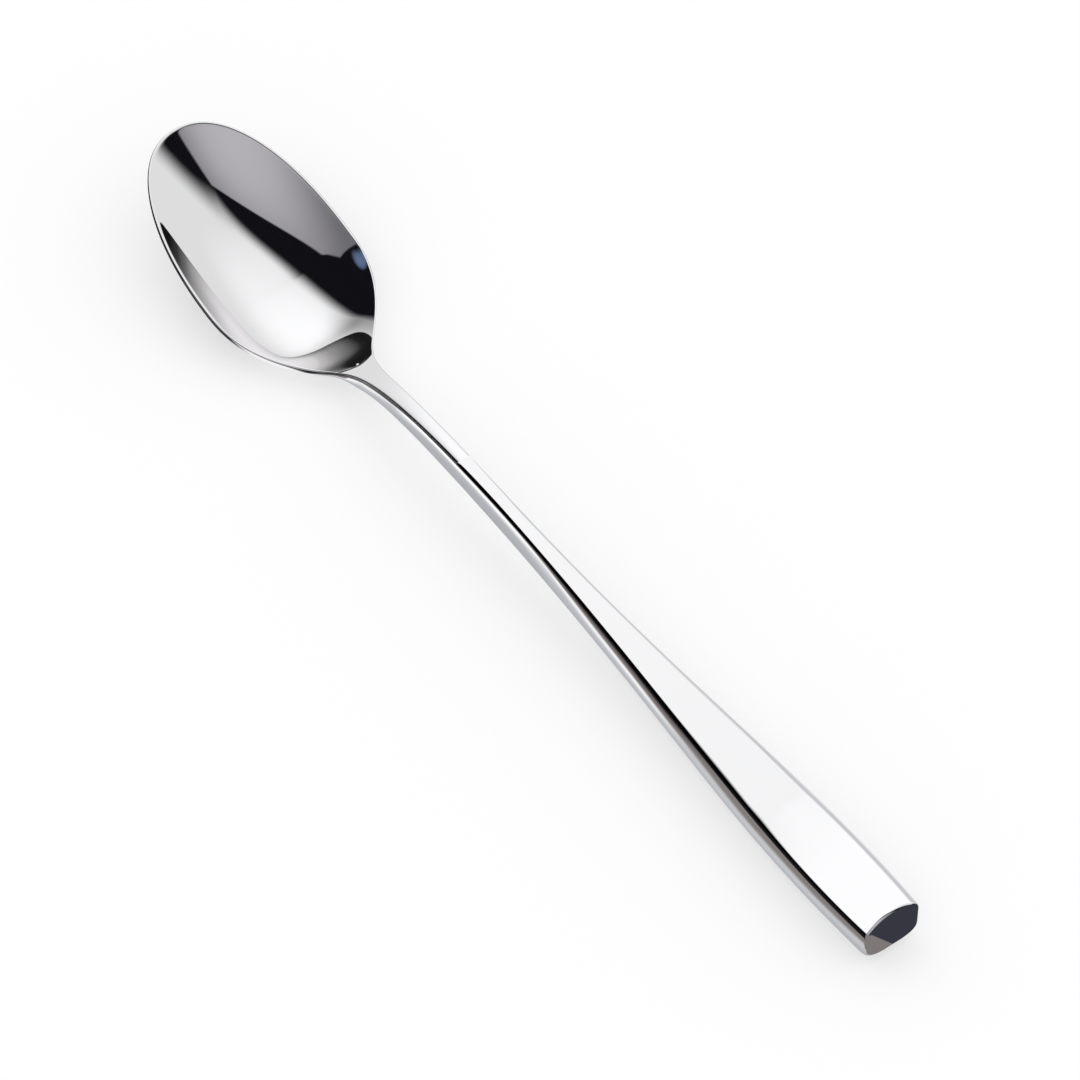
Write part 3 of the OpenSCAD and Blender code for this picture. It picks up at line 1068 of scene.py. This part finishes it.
@dataclass(frozen=True)
class Table:
    """The pale table with the spoon's real shadow, and a glowing pattern of painted light and painted shade
    that only the steel's reflections see.

    Lengths and places are millimetres. A pair says from where to where a change goes, along or across.
    """

    side: float = 8000.0
    below: float = 0.05
    grey: float = 0.5
    lift: float = 0.5
    strip_inner: float = -4.0
    strip_outer: float = 8.0
    strip_most: float = 10.0
    widens_along: Pair = (10.0, -8.0)
    narrows_along: Pair = (-33.0, -38.0)
    front_along: Pair = (56.0, 36.0)
    glint_along: Pair = (48.0, 30.0)
    far_across: Pair = (40.0, 110.0)
    far_slope: float = 3.0
    far_slant: Pair = (80.0, 200.0)
    # Painted light on the table far behind the spoon, seen by the steel alone
    far_painted_light: Color = (1.15, 1.15, 1.15)
    beside_across: Pair = (16.0, 32.0)
    beside: tuple[Color, Color] = ((0.80, 0.80, 0.82), (0.67, 0.67, 0.69))
    middle_across: Pair = (-0.5, 0.5)
    # Painted shade beside the bowl's front and painted light beside its rear, seen by the steel alone
    shade_across: Pair = (-22.0, -13.0)
    shade: tuple[Color, Color] = ((0.008, 0.008, 0.012), (0.15, 0.15, 0.17))
    under_along: Pair = (-63.0, -56.0)
    under_painted_light: Color = (1.1, 1.1, 1.1)
    bowl_along: Pair = (-50.5, -47.5)
    # Beyond the handle's end the table is painted darker, for the steel's reflections alone
    end_slope: float = 0.418
    end_slant: Pair = (40.95, 41.15)
    end: tuple[Color, Color] = ((0.25, 0.225, 0.22), (0.045, 0.047, 0.062))
    end_along: Pair = (94.9, 95.1)

    def build(self) -> bpy.types.Object:
        """Returns the table."""
        table = add_plane("floor", self.side, (0.0, 0.0, -self.below), (0.0, 0.0, 0.0))
        material = bpy.data.materials.new("floor")
        wiring = Wiring.clear(material)
        diffuse = wiring.add("BsdfDiffuse", {"Color": (self.grey, self.grey, self.grey)})
        lit = wiring.add("AddShader", {0: diffuse, 1: wiring.add("Emission", {"Strength": self.lift})})
        # Rays from the steel see the painted light and painted shade; other rays see the plainly lit table
        # with its real shadow
        shown = wiring.add("Emission", {"Color": self.painted_light_and_shade(wiring)})
        glossy = wiring.add("LightPath").outputs[Rays.GLOSSY.value]
        wiring.add("OutputMaterial", {"Surface": wiring.mix(glossy, lit, shown)})
        table.data.materials.append(material)
        return table

    def beyond(self, wiring: Wiring, along: Given, across: Given) -> bpy.types.NodeSocket:
        """Measures from the strip's line outward from the spoon.

        Args:
            wiring: The table's material.
            along: The place along the spoon.
            across: The place across it.

        Returns:
            How far the place lies beyond the line.
        """
        curve = wiring.add("FloatCurve")
        points = curve.mapping.curves[0].points
        first, last = STRIP_LINE[0][0], STRIP_LINE[-1][0]
        for index, (place, offset) in enumerate(STRIP_LINE):
            x, y = (place - first) / (last - first), offset / self.strip_most
            if index in (0, len(STRIP_LINE) - 1):
                points[0 if index == 0 else -1].location = (x, y)
            else:
                points.new(x, y)
        curve.mapping.update()
        wiring.feed(curve, {"Value": wiring.span(along, first, last, kind="LINEAR")})
        line = wiring.reckon("MULTIPLY", curve.outputs["Value"], -self.strip_most)
        return wiring.reckon("SUBTRACT", line, across)

    def painted_light_and_shade(self, wiring: Wiring) -> bpy.types.NodeSocket:
        """Paints the light and shade that the steel's sides show of the table: a painted light strip and
        painted glint beside the spoon, painted shade beyond it.

        Args:
            wiring: The table's material.

        Returns:
            The colour for rays that come from the steel.
        """
        places = wiring.add("SeparateXYZ", {0: wiring.place()}).outputs
        along, across = places["X"], places["Y"]
        beyond = self.beyond(wiring, along, across)

        def slant(slope: float) -> bpy.types.NodeSocket:
            """Returns the place across, plus the place along times a slope."""
            return wiring.reckon("ADD", across, wiring.reckon("MULTIPLY", along, slope))

        def change(place: Given, pair: Pair, a: Given, b: Given,
                   kind: str = "MIX") -> bpy.types.NodeSocket:
            """Returns one colour up to the pair's first place and another from its second."""
            return wiring.blend(wiring.span(place, *pair), a, b, kind)

        rear, front, narrow, wide = [wiring.ramp(beyond, stops, self.strip_inner, self.strip_outer)
                                     for stops in (STRIP_REAR, STRIP_FRONT, GLINT_NARROW, GLINT_WIDE)]
        # Painted glint: a painted highlight along the strip's line, for the steel's reflections alone
        glint = change(along, self.widens_along, narrow, wide)
        glint = change(along, self.narrows_along, glint, narrow)
        strip = change(along, self.front_along, rear, front)
        strip = change(along, self.glint_along, strip, glint, "ADD")
        far = wiring.reckon("MULTIPLY", wiring.span(across, *self.far_across),
                            wiring.span(slant(self.far_slope), *self.far_slant))
        behind = wiring.blend(far, change(across, self.beside_across, *self.beside), self.far_painted_light)
        near = change(across, self.middle_across, strip, behind)
        shade = change(across, self.shade_across, *self.shade)
        under = change(along, self.under_along, shade, self.under_painted_light)
        table = change(along, self.bowl_along, under, near)
        end = change(slant(self.end_slope), self.end_slant, *self.end)
        return change(along, self.end_along, table, end)


@dataclass(frozen=True)
class Side:
    """One side of the studio: all directions nearer to a point of it than a cone, softly.

    The cone is given by the cosines at which the side starts and is full. A cosine below -1 or above 1
    only makes the change softer.
    """

    azimuth: float
    elevation: float
    low: float
    high: float


@dataclass(frozen=True)
class Card:
    """A card or lamp of the studio that the polished steel shows, within all of its edges.

    Where it has a fade it goes down to the least share of its colour, away from that side.
    """

    name: str
    color: Color
    edges: tuple[Side, ...]
    fade: Side | None = None
    least: float = 1.0


# Painted reflection and painted shade in the bowl's hollow: what the steel shows after a second reflection
# inside the bowl, in place of the cards. Two fades, each toward one side (azimuth, elevation), with its
# light by the cosine of the angle to that side
INNER_WHITE = (1.20, 1.175, 1.17)
INNER_LEAST, INNER_MOST = -0.3, 0.7
INNER_FADES = (
    ((-163.0, 21.3), ((-0.12, 0.008), (-0.06, 0.045), (0.0, 0.18), (0.04, 0.34), (0.10, 0.53),
                      (0.16, 0.72), (0.22, 0.86), (0.30, 0.95), (0.45, 1.0))),
    ((75.0, 5.0), ((-0.25, 0.012), (-0.20, 0.02), (-0.16, 0.065), (-0.05, 0.225), (0.015, 0.38),
                   (0.055, 0.48), (0.122, 0.63), (0.148, 0.75), (0.30, 0.90), (0.50, 1.0))),
)
# The backdrop is at ray depth 2 for the steel's first reflection and at 3 for its second
BETWEEN_DEPTHS = 2.5


@dataclass
class Studio:
    """Table, backdrop, light and camera.

    The camera's numbers are fitted to the outline of the photographed spoon, in millimetres.
    """

    lens: float = 252.12
    sensor_w: float = 36.0
    camera_place: tuple[float, float, float] = (596.3, -440.5, 945.5)
    right: tuple[float, float, float] = (0.596, 0.803, -0.002)
    up: tuple[float, float, float] = (-0.630, 0.470, 0.618)
    shift: tuple[float, float] = (0.01806, 0.0077)
    view_reach: Pair = (10.0, 20000.0)
    dark: Color = (0.0062, 0.0062, 0.0085)
    cards: tuple[Card, ...] = (
        Card("overhead_white", (1.421, 1.421, 1.421),
             (Side(120.18, 26.01, 0.394, 0.632), Side(144.47, -54.27, -0.805, -0.690),
              Side(12.26, -34.35, -1.143, -0.787)),
             Side(136.42, 51.75, 0.731, 1.216), 0.618),
        Card("front_grey", (0.553, 0.538, 0.568),
             (Side(-86.56, -8.62, -0.409, -0.375), Side(-33.53, -5.77, 0.120, 0.140),
              Side(25.29, -26.10, -0.745, -0.739)),
             Side(-33.35, 40.98, 0.513, 1.040), 0.32),
        Card("blue_lamp", (0.13, 0.18, 0.31), (Side(-113.0, 33.0, 0.9962, 1.0),)),
    )

    def build(self) -> None:
        """Builds the whole studio."""
        self.build_camera()
        Table().build()
        HandleCard().build()
        self.build_world()
        bpy.context.scene.view_settings.view_transform = "Standard"

    def build_camera(self) -> None:
        """Creates the camera at the photograph's angle."""
        data = bpy.data.cameras.new("camera")
        data.lens = self.lens
        data.sensor_width = self.sensor_w
        data.shift_x, data.shift_y = self.shift
        data.clip_start, data.clip_end = [reach * MM for reach in self.view_reach]
        camera = bpy.data.objects.new("camera", data)
        bpy.context.scene.collection.objects.link(camera)
        right = Vector(self.right).normalized()
        back = right.cross(Vector(self.up)).normalized()
        pose = Matrix((right, back.cross(right), back)).transposed().to_4x4()
        pose.translation = Vector(self.camera_place) * MM
        camera.matrix_world = pose
        bpy.context.scene.camera = camera

    def build_world(self) -> None:
        """Lights the scene evenly, and shows the cards to reflections alone."""
        world = bpy.data.worlds.new("studio")
        bpy.context.scene.world = world
        wiring = Wiring.clear(world)
        toward = wiring.add("TexCoord").outputs["Generated"]

        def nearness(azimuth: float, elevation: float) -> bpy.types.NodeSocket:
            """Returns the cosine of the angle between the view and a point of the studio."""
            return wiring.vector("DOT_PRODUCT", toward, direction(azimuth, elevation)).outputs["Value"]

        def mask(side: Side) -> bpy.types.NodeSocket:
            """Returns 1 on a side of the studio and 0 off it."""
            return wiring.span(nearness(side.azimuth, side.elevation), side.low, side.high)

        color: Given = self.dark
        for card in self.cards:
            inside = mask(card.edges[0])
            for edge in card.edges[1:]:
                inside = wiring.reckon("MINIMUM", inside, mask(edge))
            shown: Given = card.color
            if card.fade is not None:
                dim = tuple(value * card.least for value in card.color)
                shown = wiring.blend(mask(card.fade), dim, card.color)
            color = wiring.blend(inside, color, shown)
        inner: Given = INNER_WHITE
        for side, levels in INNER_FADES:
            level = wiring.ramp(nearness(*side), levels, INNER_LEAST, INNER_MOST)
            inner = wiring.blend(level, (0.0, 0.0, 0.0), inner)
        path = wiring.add("LightPath").outputs
        # Painted reflection: a second reflection sees the darker inner studio, not the cards
        again = wiring.reckon("GREATER_THAN", path["Ray Depth"], BETWEEN_DEPTHS)
        seen = wiring.add("Background", {"Color": wiring.blend(again, color, inner)})
        white = wiring.add("Background", {"Color": (1.0, 1.0, 1.0)})
        reflected = wiring.mix(path[Rays.GLOSSY.value], white, seen)
        wiring.add("OutputWorld", {"Surface": wiring.mix(path[Rays.CAMERA.value], reflected, white)})


def main() -> None:
    """Builds the spoon and the studio."""
    Spoon(SpoonForm(), PolishedSteel()).build()
    Studio().build()
    bpy.context.view_layer.update()


if __name__ == "__main__":
    main()
